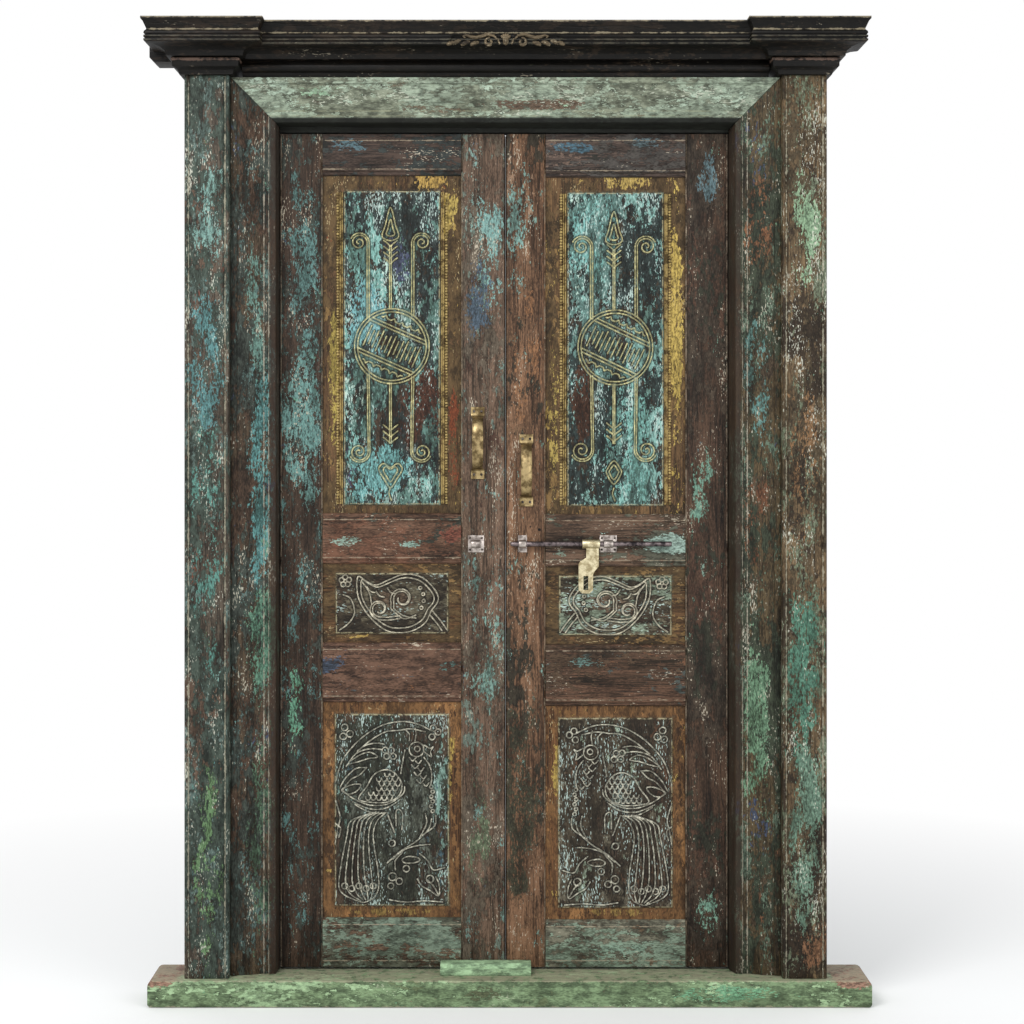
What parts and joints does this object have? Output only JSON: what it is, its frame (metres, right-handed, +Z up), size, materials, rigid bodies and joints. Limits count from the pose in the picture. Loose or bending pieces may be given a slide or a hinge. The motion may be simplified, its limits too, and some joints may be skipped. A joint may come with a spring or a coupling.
{
  "type": "carved double door with frame",
  "caption": "Old carved double-leaf wooden door in its moulded frame with cornice, pilasters and sill; both leaves swing inwards and a slide bolt with a hasp locks them.",
  "frame": {"origin": "the sill's underside, on the line where the two leaves meet and halfway through the sill's depth", "axes": "+Z up, +X to the viewer's right, -Y out of the carved front"},
  "size_m": [1.637, 0.2273, 2.2181],
  "materials": {
    "sill_paint": "worn sage green paint",
    "head_paint": "worn sage green paint with brown speckle",
    "frame_paint": "worn layers of brown and slate blue paint",
    "cornice_paint": "dark brown paint with pale worn edges",
    "leaf_paint": "chocolate brown wood with scraped turquoise, green and rust layers",
    "panel_paint": "worn turquoise and olive paint with pale carved lines",
    "brass": "worn polish with dark tarnish",
    "pale_brass": "satin",
    "steel": "dull zinc plating",
    "iron": "dark oxide with thin rust"
  },
  "bodies": {
    "frame": {"sill": "sill_paint", "sill_stop_block": "sill_paint", "left_architrave_jamb": "frame_paint", "right_architrave_jamb": "frame_paint", "head_architrave": "head_paint", "left_pilaster": "frame_paint", "right_pilaster": "frame_paint", "left_necking_cap": "cornice_paint", "right_necking_cap": "cornice_paint", "cornice": "cornice_paint", "head_beam": "cornice_paint", "left_frame_flap_1": "iron", "left_frame_flap_2": "iron", "left_frame_flap_3": "iron", "right_frame_flap_1": "iron", "right_frame_flap_2": "iron", "right_frame_flap_3": "iron"},
    "left_leaf": {"left_meeting_stile": "leaf_paint", "left_outer_stile": "leaf_paint", "left_top_rail": "leaf_paint", "left_lock_rail": "leaf_paint", "left_lower_rail": "leaf_paint", "left_bottom_rail": "leaf_paint", "left_top_panel": "panel_paint", "left_middle_panel": "panel_paint", "left_bottom_panel": "panel_paint", "left_pull": "brass", "bolt_catch": "steel", "left_leaf_flap_1": "iron", "left_leaf_flap_2": "iron", "left_leaf_flap_3": "iron"},
    "right_leaf": {"right_meeting_stile": "leaf_paint", "right_outer_stile": "leaf_paint", "right_top_rail": "leaf_paint", "right_lock_rail": "leaf_paint", "right_lower_rail": "leaf_paint", "right_bottom_rail": "leaf_paint", "right_top_panel": "panel_paint", "right_middle_panel": "panel_paint", "right_bottom_panel": "panel_paint", "right_pull": "brass", "bolt_near_clamp": "steel", "bolt_far_clamp": "steel", "right_leaf_flap_1": "iron", "right_leaf_flap_2": "iron", "right_leaf_flap_3": "iron"},
    "bolt": {"bolt_rod": "iron"},
    "hasp": {"bolt_hasp": "pale_brass"}
  },
  "joints": [
    {"name": "left_leaf_hinge", "type": "hinge", "parent": "frame", "child": "left_leaf", "pos_m": [-0.51855, 0.0788, 1.04], "axis": [0, 0, 1], "range_deg": [0, 100]},
    {"name": "right_leaf_hinge", "type": "hinge", "parent": "frame", "child": "right_leaf", "pos_m": [0.51155, 0.0788, 1.04], "axis": [0, 0, -1], "range_deg": [0, 100]},
    {"name": "bolt_slide", "type": "slide", "parent": "right_leaf", "child": "bolt", "axis": [-1, 0, 0], "range_m": [0, 0.1185]},
    {"name": "hasp_turn", "type": "hinge", "parent": "bolt", "child": "hasp", "pos_m": [0.19, 0.014, 1.0385], "axis": [-1, 0, 0], "range_deg": [0, 120]}
  ]
}
